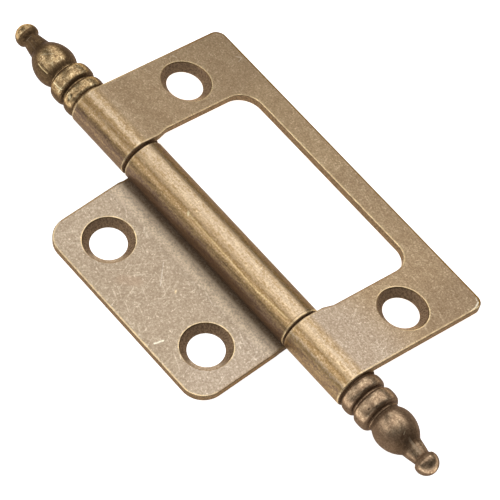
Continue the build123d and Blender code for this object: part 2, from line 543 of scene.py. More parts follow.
    def sink(self, shell: Shell, x: float, s: float) -> None:
        """Turn the hole's edge view round the hole's axis.

        A point at radius r and depth d goes to x + r cos a, s + r sin a and the face's height + d.
        The rim is rubbed bright, with a painted glint, on one side and has painted shade on the
        other, a painted shade line runs under it, and the cone's tarnish colour is thinned towards
        the front.

        Args:
            shell: Mesh being gathered.
            x: Place of the hole along the pin.
            s: Distance of the hole from the pin's axis.
        """
        path, normals, wear = self.sink_profile()
        angle = circle(self.hole_steps)[:, None]
        cos, sin = np.cos(angle), np.sin(angle)
        reach, depth = path.T
        up, face = (1.0, self.thickness) if self.sinks_outside else (-1.0, 0.0)
        flat = np.stack([x + reach * cos, s + reach * sin, face + up * depth + 0 * angle], -1).reshape(-1, 3)
        facing = np.stack([normals[:, 0] * cos, normals[:, 0] * sin, up * normals[:, 1] + 0 * angle], -1)
        points, facing = self.bend(flat, facing.reshape(-1, 3))
        triangles = grid_triangles(self.hole_steps, len(path), wrap=True)
        cone = smooth(-0.02, -0.15, depth) * smooth(-self.thickness, -self.thickness + 0.05, depth)
        # Side of the rim facing against sink_way: rubbed bright with a painted glint; the far side gets
        # painted shade.
        worn_and_lit = smooth(-0.9, -0.2, -np.concatenate([cos, sin], 1) @ np.array(self.sink_way))[:, None]
        arc = smooth(0.0, -0.004, depth) * smooth(-0.15, -0.05, depth)
        # Painted shade: a dark line just under the rim, stronger on the glinting side.
        line = (0.2 + 0.65 * worn_and_lit) * smooth(-0.015, -0.03, depth) * smooth(-0.17, -0.13, depth)
        front = cos * FRONT[0] + sin * FRONT[1] * math.cos(math.radians(self.turn))
        masks = {
            "edge": (wear * worn_and_lit).ravel(),
            "sink": (cone * (1 - 0.8 * smooth(0.5, 0.85, front))).ravel(),
            "far": np.maximum(0.7 * arc * (1 - worn_and_lit), line).ravel(),
        }
        shell.add(points, facing, flat[:, :2], triangles if self.sinks_outside else triangles[:, ::-1], masks)

    def face(self, shell: Shell, path: Array, normals: Array, outside: bool) -> None:
        """Fill one face of the sheet inside its borders, with level cuts across the roll.

        Args:
            shell: Mesh being gathered.
            path: Outline of the blank.
            normals: Its outward normals.
            outside: Whether this is the face on the outside of the roll.
        """
        radius = self.rounds(path[:, 1])[0 if outside else 1]
        loop = path - normals * (radius + self.border_width(path[:, 1]))[:, None]
        ring = self.sink_profile()[0][0 if outside == self.sinks_outside else -1, 0]
        angle = circle(self.hole_steps)
        circled = ring * np.stack([np.cos(angle), np.sin(angle)], 1)
        loops = [loop] + [np.array(hole) + circled for hole in self.holes()]
        edges = []
        for part in loops:
            number = np.arange(len(part)) + sum(len(pair) for pair in edges)
            edges.append(np.stack([number, np.roll(number, -1)], 1))
        for level in self.levels:
            crossing = np.nonzero(np.abs(loop[:, 1] - level) < SAME)[0]
            crossing = crossing[np.argsort(loop[crossing, 0])]
            edges.append(crossing[: len(crossing) // 2 * 2].reshape(-1, 2))
        given = [Vector(point) for point in np.concatenate(loops).tolist()]
        filled = delaunay_2d_cdt(given, np.concatenate(edges).tolist(), [], 2, SAME)
        corners = np.array([v[:] for v in filled[0]])
        triangles = np.array(filled[2], dtype=np.int64)
        middle = corners[triangles].mean(1)
        for hole in self.holes():
            clear = np.linalg.norm(middle - np.array(hole), axis=1) >= ring
            triangles, middle = triangles[clear], middle[clear]
        height, up = (self.thickness, 1.0) if outside else (0.0, -1.0)
        flat = np.column_stack([corners, np.full(len(corners), height)])
        points, facing = self.bend(flat, np.tile([0.0, 0.0, up], (len(corners), 1)))
        shell.add(points, facing, flat[:, :2], triangles if outside else triangles[:, ::-1], {})

    def build(self) -> bpy.types.Object:
        """Make the leaf as one piece that stands for its CAD node.

        Returns:
            The piece.
        """
        points, radii = self.outline()
        path, normals = rounded_path(points, radii, closed=True, steps=self.arc_steps)
        path, normals = cut_at_levels(path, normals, self.levels)
        shell = Shell()
        self.rim(shell, path, normals)
        for x, s in self.holes():
            self.sink(shell, x, s)
        self.face(shell, path, normals, outside=True)
        self.face(shell, path, normals, outside=False)
        piece = shell.build(self.name + "_sheet")
        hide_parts(self.name)
        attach(piece, self.body)
        return piece


@dataclass
class OuterLeaf(RolledLeaf):
    """The wide leaf: a frame round the window, with a rolled knuckle at each end.

    Attributes:
        half_length: Half the leaf's length.
        half_gap: Half the gap between its knuckles.
        half_window: Half the window's length.
        window_far: Far side of the window from the pin's axis.
        corner_round: Radius of the leaf's outer corners.
        shoulder_round: Radius of the shoulders beside the knuckles.
        window_round: Radius of the window's far corners.
    """

    half_length: float = OUTER_HALF
    half_gap: float = 19.265
    half_window: float = 19.745
    window_far: float = 21.35
    corner_round: float = 1.7
    shoulder_round: float = 2.0
    window_round: float = 3.6

    def outline(self) -> tuple[Array, Array]:
        """List the corners of the blank, from the left knuckle's inner corner round the window.

        Returns:
            Corners and their radii.
        """
        tab = -self.roll_length
        half = [
            (self.half_gap, tab, self.tab_round),
            (self.half_gap, 3.0, self.shoulder_round),
            (self.half_window, 4.8, self.shoulder_round),
            (self.half_window, self.window_far, self.window_round),
        ]
        outer = [(self.half_length, tab, self.tab_round), (self.half_length, self.width, self.corner_round)]
        left = [(-x, s, radius) for x, s, radius in half]
        far = [(-x, s, radius) for x, s, radius in outer]
        given = np.array(left + half[::-1] + outer + far[::-1])
        return given[:, :2], given[:, 2]

    def shade_behind(self, path: Array, normals: Array) -> Array:
        """Share of painted shade left on the edge, less inside the window.

        Args:
            path: Outline of the blank.
            normals: Its outward normals.

        Returns:
            Values from 0 to 1.
        """
        in_window = (np.abs(path[:, 0]) < self.half_window + 0.5) & (path[:, 1] < self.window_far + 0.5)
        return super().shade_behind(path, normals) * np.where(in_window, 0.35, 1.0)


@dataclass
class InnerLeaf(RolledLeaf):
    """The narrow leaf, with the long knuckle between the two ends of the outer leaf.

    Attributes:
        half_length: Half the leaf's length.
        half_knuckle: Half the knuckle's length.
        right_lip: How much further the knuckle reaches on the right.
        relief_round: Radius of the corners beside the knuckle.
        corner_round: Radius of the leaf's far corners.
    """

    half_length: float = 18.925
    half_knuckle: float = 18.725
    right_lip: float = 0.14
    relief_round: float = 1.2
    corner_round: float = 3.9

    def outline(self) -> tuple[Array, Array]:
        """List the corners of the blank, from the knuckle's right corner round the flat.

        Returns:
            Corners and their radii.
        """
        tab = -self.roll_length
        right, left = self.half_knuckle + self.right_lip, -self.half_knuckle
        corners = [
            (right, tab, self.tab_round),
            (right, 3.7, self.relief_round),
            (self.half_length, 4.6, self.relief_round),
            (self.half_length, self.width, self.corner_round),
            (-self.half_length, self.width, self.corner_round),
            (-self.half_length, 4.6, self.relief_round),
            (left, 3.7, self.relief_round),
            (left, tab, self.tab_round),
        ]
        given = np.array(corners)
        return given[:, :2], given[:, 2]


# Finials


@dataclass
class Finial:
    """A turned casting with two beads, a pear and a small ball, pressed into the end of the barrel.

    Attributes:
        side: End of the barrel that it closes.
        body: CAD body that it rides on.
        barrel_end: Place of the barrel's end, on the pin's axis.
        parting: Angle of the mould's parting line, 0 at the top.
        parting_height: How far the parting line stands up.
        cone_rub: Share of the rubbing that reaches the cone.
        parting_width: Degrees over which the parting line stands up.
        rub_turn: Degrees short of the top at which hands rub most.
        map_radius: Millimetres of the piece's own map to a radian round the axis.
        bead_radius: Radius of both beads, the barrel's own.
        lips: Places of the thin lips in the two grooves, along the axis.
        pear_start: Where the pear leaves its groove.
        pear_end: Where the pear turns into the cone.
        ball_start: Where the cone meets the ball.
        around_steps: Steps round the axis.
        length_steps: Points along the profile.
    """

    side: Side
    body: str
    barrel_end: Triple
    parting_height: float
    cone_rub: float
    parting: float = -54.0
    parting_width: float = 1.3
    rub_turn: float = 16.0
    map_radius: float = 3.0
    bead_radius: float = AXIS[1]
    lips: Pair = (2.84, 6.16)
    pear_start: float = 6.2
    pear_end: float = 12.2
    ball_start: float = 15.2
    around_steps: int = 240
    length_steps: int = 320

    @property
    def name(self) -> str:
        """Name of the CAD node."""
        return self.side.name.lower() + "_finial"

    @staticmethod
    def bulge(start: Pair, crown: Pair, end: Pair, steps: int) -> Array:
        """Run an arc through three points.

        The centre is where the perpendicular bisectors of the two chords meet.

        Args:
            start: First point, as distance along the axis and radius.
            crown: Point on the way.
            end: Last point.
            steps: Number of points.

        Returns:
            Points of the arc.
        """
        a, b, c = np.array(start), np.array(crown), np.array(end)
        sides = 2 * np.array([b - a, c - a])
        centre = np.linalg.solve(sides, [b @ b - a @ a, c @ c - a @ a])
        first, last = (math.atan2(*(p - centre)[::-1]) for p in (a, c))
        if first < last:
            first += 2 * math.pi
        angle = np.linspace(first, last, steps)
        radius = np.linalg.norm(a - centre)
        return centre + radius * np.stack([np.cos(angle), np.sin(angle)], 1)

    @staticmethod
    def shoulder(crown: Pair, end: Pair, steps: int) -> Array:
        """Run an arc that is level at its crown down to an end point.

        Its radius is (dx^2 + dr^2) / (2 dr), so that the circle's top is the crown.

        Args:
            crown: Level point.
            end: Last point.
            steps: Number of points.

        Returns:
            Points from the crown to the end.
        """
        run, drop = end[0] - crown[0], crown[1] - end[1]
        radius = (run * run + drop * drop) / (2 * drop)
        angle = np.linspace(0.0, math.asin(run / radius), steps)
        return np.stack([crown[0] + radius * np.sin(angle), crown[1] - radius + radius * np.cos(angle)], 1)

    def profile(self) -> Array:
        """Trace the casting from the end of its stub to its tip.

        Returns:
            Distance along the axis and radius of each point.
        """
        tip = np.linspace(0.05, math.pi / 2, 24)
        runs = [
            np.array([[-6.0, 0.0], [-6.0, 1.94], [-5.6, 2.34], [0.0, 2.34], [0.0, 3.1], [0.3, 3.1]]),
            self.bulge((0.3, 3.1), (0.62, 3.42), (1.2, 3.56), 10),
            self.bulge((1.2, 3.56), (1.6, self.bead_radius), (2.0, 3.52), 10),
            self.bulge((2.0, 3.52), (2.4, 3.34), (2.56, 2.95), 10),
            np.array([[2.62, 2.8], [2.74, 2.84], [2.84, 2.93], [2.94, 2.84], [3.04, 2.8]]),
            self.bulge((3.08, 2.95), (3.3, 3.36), (3.8, 3.54), 12),
            self.bulge((3.8, 3.54), (4.5, self.bead_radius), (5.2, 3.5), 12),
            self.bulge((5.2, 3.5), (5.66, 3.26), (5.86, 2.8), 12),
            np.array([[5.92, 2.66], [6.04, 2.7], [6.16, 2.82], [6.26, 2.72], [6.36, 2.56]]),
            self.shoulder((8.66, 3.34), (6.42, 2.6), 20)[::-1],
            self.shoulder((8.66, 3.34), (12.15, 1.95), 30)[1:],
            np.array([[12.27, 1.84], [13.5, 1.63], [14.76, 1.38], [14.9, 1.37]]),
            self.bulge((14.98, 1.47), (15.12, 1.73), (15.4, 1.88), 8),
            np.stack([15.75 + 1.93 * np.sin(tip), 1.93 * np.cos(tip)], 1),
        ]
        path = np.concatenate(runs)
        path[-1, 1] = 0.0
        return path

    def rubbed(self, path: Array, across: Array, dip: Array, around: Array) -> Array:
        """Tell where hands have rubbed the casting: on crowns that face up and out of the dips.

        It is the eased share of the profile's normal that points away from the axis, times the eased
        nearness of the angle round the axis to a little short of the top, and is low on the cone.

        Args:
            path: Profile, as distance along the axis and radius.
            across: Its unit normals.
            dip: How deep each point lies between its neighbours.
            around: Angles round the axis, 0 at the top.

        Returns:
            Values from 0 to 1, one row to an angle.
        """
        a = path[:, 0]
        pear_end, ball_start = self.pear_end, self.ball_start
        cone = smooth(pear_end - 0.6, pear_end + 0.2, a) * smooth(ball_start, ball_start - 0.5, a)
        pear = smooth(self.pear_start, self.pear_start + 0.4, a) * smooth(pear_end + 0.4, pear_end, a)
        crown = smooth(0.62 + 0.2 * pear, 0.96 + 0.04 * pear, across[:, 1]) * (1 - dip)
        crown = crown * (1 - (1 - self.cone_rub) * cone)
        crown = np.where(a > ball_start, smooth(ball_start + 0.3, ball_start + 0.8, a), crown) * (a > 0)
        turn = np.abs((np.degrees(around) + self.rub_turn + 180) % 360 - 180)
        narrow = smooth(52.0, 16.0, turn) * pear + smooth(72.0, 44.0, turn) * (1 - pear)
        ridge = sum(np.exp(-(((a - lip) / width) ** 2)) for lip, width in zip(self.lips, (0.07, 0.08)))
        return np.clip(crown * (0.12 + 0.88 * narrow) * smooth(90.0, 74.0, turn) + 0.75 * ridge, 0.0, 1.0)

    def softened(self) -> Array:
        """Give the profile at even steps, with its corners rubbed soft by a short moving average.

        Returns:
            Distance along the axis and radius of each point.
        """
        path = self.profile()
        length = np.concatenate([[0.0], np.cumsum(np.linalg.norm(np.diff(path, axis=0), axis=1))])
        even = np.linspace(0.0, length[-1], self.length_steps)
        path = np.stack([np.interp(even, length, path[:, 0]), np.interp(even, length, path[:, 1])], 1)
        kernel = np.array([1.0, 2.0, 3.0, 2.0, 1.0]) / 9.0
        padded = np.concatenate([np.repeat(path[:1], 2, 0), path, np.repeat(path[-1:], 2, 0)])
        soft = np.stack([np.convolve(column, kernel, "valid") for column in padded.T], 1)
        soft[0], soft[-1] = path[0], path[-1]
        soft[:, 1] = np.maximum(soft[:, 1], 0.0)
        return soft

    def build(self) -> bpy.types.Object:
        """Turn the profile round the pin's axis.

        A point at distance a and radius r goes to the barrel's end plus a outwards, and
        r sin t, r cos t across the axis. Its normal is the profile's, turned the same way. The
        mould's parting line lifts r by a narrow bell over t.

        Returns:
            The piece.
        """
        soft = self.softened()
        slope = np.gradient(soft, axis=0)
        slope /= np.linalg.norm(slope, axis=1)[:, None]
        across = np.stack([-slope[:, 1], slope[:, 0]], 1)
        across[0], across[-1] = (-1.0, 0.0), (1.0, 0.0)
        around = circle(self.around_steps)[:, None]
        hull = np.maximum.reduce([np.roll(soft[:, 1], k) - abs(k) * 0.02 for k in range(-14, 15)])
        casting = (soft[:, 0] > 0) & (soft[:, 0] < self.ball_start + 0.4)
        dip = smooth(0.1, 0.5, hull - soft[:, 1]) * casting
        rub = self.rubbed(soft, across, dip, around)
        seam = (np.degrees(around) - self.parting + 180) % 360 - 180
        where = smooth(7.2, 7.4, soft[:, 0]) * smooth(9.8, 9.4, soft[:, 0]) * (1 - dip)
        line = np.exp(-((seam / self.parting_width) ** 2)) * where
        sin, cos = np.sin(around), np.cos(around)
        out = float(self.side.value)
        along = soft[:, 0] + 0 * around
        radius = soft[:, 1] + self.parting_height * line
        points = np.array(self.barrel_end) + np.stack([out * along, radius * sin, radius * cos], -1)
        steep = 2 * math.degrees(1) * self.parting_height / self.parting_width**2
        tilt = steep * seam * line / np.maximum(radius, 0.5)
        lean, level = across[:, 1], out * across[:, 0] + 0 * around
        normals = np.stack([level, lean * sin + tilt * cos, lean * cos - tilt * sin], -1)
        normals /= np.linalg.norm(normals, axis=-1, keepdims=True)
        triangles = grid_triangles(self.around_steps, len(soft), wrap=True)
        places = np.stack([along, around * self.map_radius + 0 * along], -1).reshape(-1, 2)
        masks = {"dip": np.tile(dip, self.around_steps), "rub": rub.ravel(), "seam": line.ravel()}
        facing = triangles[:, ::-1] if out > 0 else triangles
        shell = Shell()
        shell.add(points.reshape(-1, 3), normals.reshape(-1, 3), places, facing, masks)
        piece = shell.build(self.name + "_casting")
        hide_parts(self.name)
        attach(piece, self.body)
        return piece


# Finishes


class Wiring:
    """Short ways to add nodes to one node tree and to link them.

    Attributes:
        tree: Node tree that is written to.
    """

    def __init__(self, tree: bpy.types.NodeTree) -> None:
        """Take the tree to write to."""
        self.tree = tree

    def node(self, kind: str, inputs: Inputs | None = None, **settings: object) -> bpy.types.Node:
        """Add a node, set it up and feed its inputs.

        Args:
            kind: Type of node.
            inputs: Value or source of each input, by its name or number.
            **settings: Properties of the node.

        Returns:
            The node.
        """
        node = self.tree.nodes.new(kind)
        for name, value in settings.items():
            setattr(node, name, value)
        for socket, value in (inputs or {}).items():
            self.feed(node.inputs[socket], value)
        return node

    def feed(self, socket: Socket, value: Feed) -> None:
        """Link a source to a socket, or write a value into it.

        Args:
            socket: Input to feed.
            value: Output of another node, or a plain value.
        """
        if isinstance(value, Socket):
            self.tree.links.new(value, socket)
        elif isinstance(value, tuple) and socket.type == "RGBA":
            socket.default_value = (*value, 1.0)
        else:
            socket.default_value = value

    def math(self, operation: str, *values: Feed, clamp: bool = False) -> Socket:
        """Add a sum on up to three values, kept from 0 to 1 where clamp is set."""
        inputs = dict(enumerate(values))
        return self.node("ShaderNodeMath", inputs, operation=operation, use_clamp=clamp).outputs[0]

    def times(self, value: Feed, factor: Feed) -> Socket:
        """Multiply a value by a factor."""
        return self.math("MULTIPLY", value, factor)

    def rest(self, value: Feed) -> Socket:
        """Take a value from 1."""
        return self.math("SUBTRACT", 1.0, value, clamp=True)

    def lift(self, value: Feed, factor: Feed, base: Feed, clamp: bool = False) -> Socket:
        """Add a value times a factor to a base."""
        return self.math("MULTIPLY_ADD", value, factor, base, clamp=clamp)

    def swing(self, noise: Feed, factor: Feed, base: Feed = 0.0) -> Socket:
        """Add a noise's swing about its middle, times a factor, to a base."""
        return self.lift(self.math("SUBTRACT", noise, 0.5), factor, base)

    def vector(self, operation: str, *values: Feed) -> bpy.types.Node:
        """Add a sum on vectors and return its node."""
        return self.node("ShaderNodeVectorMath", dict(enumerate(values)), operation=operation)

    def scaled(self, vector: Feed, scale: Triple) -> Socket:
        """Stretch a vector by a factor on each axis."""
        return self.vector("MULTIPLY", vector, scale).outputs[0]

    def parts(self, vector: Feed) -> Outputs:
        """Split a vector into its three parts."""
        return self.node("ShaderNodeSeparateXYZ", {0: vector}).outputs

    def noise(
        self, place: Feed, scale: float, detail: float = 2.0, rough: float = 0.5, bend: float = 0.0
    ) -> Socket:
        """Add a cloud noise about 0.5, of scale cells to a millimetre, with finer layers laid over it."""
        inputs = {"Vector": place, "Scale": scale, "Detail": detail, "Roughness": rough, "Distortion": bend}
        return self.node("ShaderNodeTexNoise", inputs).outputs["Fac"]

    def ramp(self, value: Feed, low: Feed, high: Feed, start: Feed = 0.0, end: Feed = 1.0) -> Socket:
        """Give an answer that eases from start to end as a value runs from low to high."""
        inputs = {"Value": value, 1: low, 2: high, 3: start, 4: end}
        return self.node("ShaderNodeMapRange", inputs, interpolation_type="SMOOTHSTEP").outputs[0]

    def mix(self, share: Feed, first: Feed, second: Feed, blend: str = "MIX") -> Socket:
        """Lay a share of the second colour on the first, in the way that blend names."""
        inputs = {0: share, 6: first, 7: second}
        return self.node("ShaderNodeMix", inputs, data_type="RGBA", blend_type=blend).outputs[2]

    def shaded(self, colour: Feed, shade: Feed) -> Socket:
        """Multiply a colour by a plain value."""
        grey = self.node("ShaderNodeCombineXYZ", {0: shade, 1: shade, 2: shade}).outputs[0]
        return self.mix(1.0, colour, grey, "MULTIPLY")

    def colours(self, value: Feed, stops: Stops) -> Socket:
        """Read a colour off a row of stops.

        Args:
            value: Place on the row.
            stops: Place and colour of each stop.

        Returns:
            The colour.
        """
        ramp = self.node("ShaderNodeValToRGB", {0: value})
        row = ramp.color_ramp.elements
        row.remove(row[-1])
        for number, (place, colour) in enumerate(stops):
            stop = row[0] if number == 0 else row.new(place)
            stop.position, stop.color = place, (*colour, 1.0)
        return ramp.outputs[0]

    def levels(self, value: Feed, stops: Levels) -> Socket:
        """Read a value off a row of stops, each a place and a level from 0 to 1."""
        return self.colours(value, tuple((place, (level, level, level)) for place, level in stops))

    def place(self) -> Socket:
        """Give the piece's own coordinates in millimetres."""
        return self.scaled(self.node("ShaderNodeTexCoord").outputs["Object"], (1 / MM,) * 3)

    def blank(self) -> Socket:
        """Give the piece's own map in millimetres."""
        return self.scaled(self.node("ShaderNodeUVMap", uv_map=MAP_NAME).outputs[0], (1 / MAP_SCALE,) * 3)

    def mask(self, name: str) -> Socket:
        """Give a named value of the piece's own mesh."""
        return self.node("ShaderNodeAttribute", attribute_name=name, attribute_type="GEOMETRY").outputs["Fac"]

    def group(self, effect: Effect, **inputs: Feed) -> Outputs:
        """Add a shared effect, feed its inputs by name and give its outputs."""
        return self.node("ShaderNodeGroup", inputs, node_tree=effect.tree).outputs

    def finish(self, inputs: dict[str, Feed], height: Feed, bump: Pair) -> None:
        """Feed the material's own shader.

        Args:
            inputs: Value or source of each of its inputs, by name.
            height: Height of the surface.
            bump: Strength of the bump, and the distance that a height of 1 stands for.
        """
        given = {"Strength": bump[0], "Distance": bump[1], "Height": height}
        normal = self.node("ShaderNodeBump", given).outputs[0]
        shader = self.tree.nodes["Principled BSDF"]
        for name, value in {**inputs, "Normal": normal}.items():
            self.feed(shader.inputs[name], value)


def new_material(name: str) -> tuple[bpy.types.Material, Wiring]:
    """Add a material.

    Args:
        name: Its name.

    Returns:
        The material and the wiring of its tree.
    """
    material = bpy.data.materials.new(name)
    material.use_nodes = True
    return material, Wiring(material.node_tree)


class Effect:
    """A shared effect: a node group that gives only values and colours.

    Attributes:
        tree: The group's tree.
        wiring: Short ways to write to it.
        given: What the group is fed.
        answers: Where its answers go.
    """

    def __init__(self, name: str, inputs: dict[str, str], outputs: tuple[str, ...]) -> None:
        """Open the group.

        Args:
            name: Name of the group.
            inputs: Kind of each input, such as Float or Vector.
            outputs: Names of the values that it gives.
        """
        self.tree = bpy.data.node_groups.new(name, "ShaderNodeTree")
        for socket, kind in inputs.items():
            self.tree.interface.new_socket(name=socket, in_out="INPUT", socket_type="NodeSocket" + kind)
        for socket in outputs:
            self.tree.interface.new_socket(name=socket, in_out="OUTPUT", socket_type="NodeSocketFloat")
        self.wiring = Wiring(self.tree)
        self.given = self.tree.nodes.new("NodeGroupInput").outputs
        self.answers = self.tree.nodes.new("NodeGroupOutput").inputs

    def answer(self, **answers: Feed) -> Effect:
        """Link the values that the group gives.

        Args:
            **answers: Source of each value, by its name.

        Returns:
            The effect itself.
        """
        for name, value in answers.items():
            self.wiring.feed(self.answers[name], value)
        return self


def grain_effect() -> Effect:
    """Make the fine mottling of tumbled brass.

    Grain is a 0.3 mm noise, Cloud a 1.6 mm noise, Fleck the peaks of a 0.35 mm noise, and Hair the
    line along which a bent noise crosses its middle, shown only where a second noise is high, or the
    peaks of noises squeezed fourteen times along three ways.

    Returns:
        The effect.
    """
    effect = Effect("tumbled_grain", {"Place": "Vector"}, ("Grain", "Cloud", "Fleck", "Hair"))
    w, place = effect.wiring, effect.given["Place"]
    bent = w.noise(place, 0.8, 1.0, 0.5, 1.8)
    line = w.ramp(w.math("ABSOLUTE", w.math("SUBTRACT", bent, 0.5)), 0.006, 0.02, 1.0, 0.0)
    hair = w.times(line, w.ramp(w.noise(place, 1.1, 2.0, 0.6), 0.5, 0.57))
    for angle in (0.35, 1.2, 2.1):
        turned = w.node("ShaderNodeVectorRotate", {"Vector": place, "Angle": angle}, rotation_type="Z_AXIS")
        peaks = w.ramp(w.noise(w.scaled(turned.outputs[0], SQUEEZE), 3.6, 0.0), 0.755, 0.81)
        hair = w.math("MAXIMUM", hair, peaks)
    return effect.answer(
        Grain=w.noise(place, 3.6, 2.5, 0.65),
        Cloud=w.noise(place, 0.62, 3.0, 0.55),
        Fleck=w.ramp(w.noise(place, 2.9, 1.5, 0.6), 0.6, 0.72),
        Hair=hair,
    )


def streak_effect() -> Effect:
    """Make streaks along the pin: noises read in a place squeezed along it.

    Returns:
        The effect, with broad streaks and with fine ones that are half as long.
    """
    effect = Effect("rolling_streaks", {"Place": "Vector"}, ("Broad", "Fine"))
    w, place = effect.wiring, effect.given["Place"]
    return effect.answer(
        Broad=w.noise(w.scaled(place, SQUEEZE), 1.5, 3.0, 0.7),
        Fine=w.noise(w.scaled(place, (2 * SQUEEZE[0], 1.0, 1.0)), 3.4, 2.0, 0.7),
    )


def scratch_effect() -> Effect:
    """Make one scratch: the distance from a segment, eased from 1 at 0.3 width to 0 at the width.

    Returns:
        The effect.
    """
    inputs = {"Place": "Vector", "Start": "Vector", "End": "Vector", "Width": "Float"}
    effect = Effect("scratch", inputs, ("Mark",))
    w, given = effect.wiring, effect.given
    run = w.vector("SUBTRACT", given["End"], given["Start"]).outputs[0]
    here = w.vector("SUBTRACT", given["Place"], given["Start"]).outputs[0]
    square = w.vector("DOT_PRODUCT", run, run).outputs["Value"]
    share = w.math("DIVIDE", w.vector("DOT_PRODUCT", here, run).outputs["Value"], square, clamp=True)
    nearest = w.node("ShaderNodeVectorMath", {0: run, "Scale": share}, operation="SCALE").outputs[0]
    distance = w.vector("DISTANCE", here, nearest).outputs["Value"]
    return effect.answer(Mark=w.ramp(distance, w.times(given["Width"], 0.3), given["Width"], 1.0, 0.0))


def wear_effect() -> Effect:
    """Break a clean mask up: mask times a noise, eased so that it comes and goes along an edge.

    Returns:
        The effect.
    """
    effect = Effect("broken_wear", {"Mask": "Float", "Place": "Vector"}, ("Wear",))
    w = effect.wiring
    patchy = w.ramp(w.noise(effect.given["Place"], 0.9, 3.0, 0.7), 0.3, 0.62, 0.35, 1.1)
    return effect.answer(Wear=w.math("MULTIPLY", effect.given["Mask"], patchy, clamp=True))


@dataclass(frozen=True)
class Effects:
    """The shared effects, each built once.

    Attributes:
        grain: Mottling, clouds, flecks and hair scratches.
        streak: Streaks along the pin.
        scratch: One scratch between two points.
        wear: Rubbed brightness and painted glint that come and go along an edge.
    """

    grain: Effect = field(default_factory=grain_effect)
    streak: Effect = field(default_factory=streak_effect)
    scratch: Effect = field(default_factory=scratch_effect)
    wear: Effect = field(default_factory=wear_effect)


@dataclass(frozen=True)
class Mark:
    """A scratch, stain or patch, or a band of painted light or painted shade, in the coordinates of the
    piece's own map.

    Attributes:
        start: One end.
        end: Other end.
        width: Half width.
        strength: Share of the mark's colour.
        colour: Colour that shows in it.
    """

    start: Pair
    end: Pair
    width: float
    strength: float
    colour: Colour = (0.86, 0.74, 0.55)

    def line(self, w: Wiring, effects: Effects, blank: Feed) -> Socket:
        """Give the mark's own shape, 1 on it and 0 off it."""
        ends = {"Start": (*self.start, 0.0), "End": (*self.end, 0.0)}
        return w.group(effects.scratch, Place=blank, Width=self.width, **ends)[0]


def crown_levels(levels: Levels) -> Levels:
    """Turn angles in degrees, 0 at the top, into places on a row from 0 to 1."""
    return tuple(((angle + 180.0) / 360.0, level) for angle, level in levels)


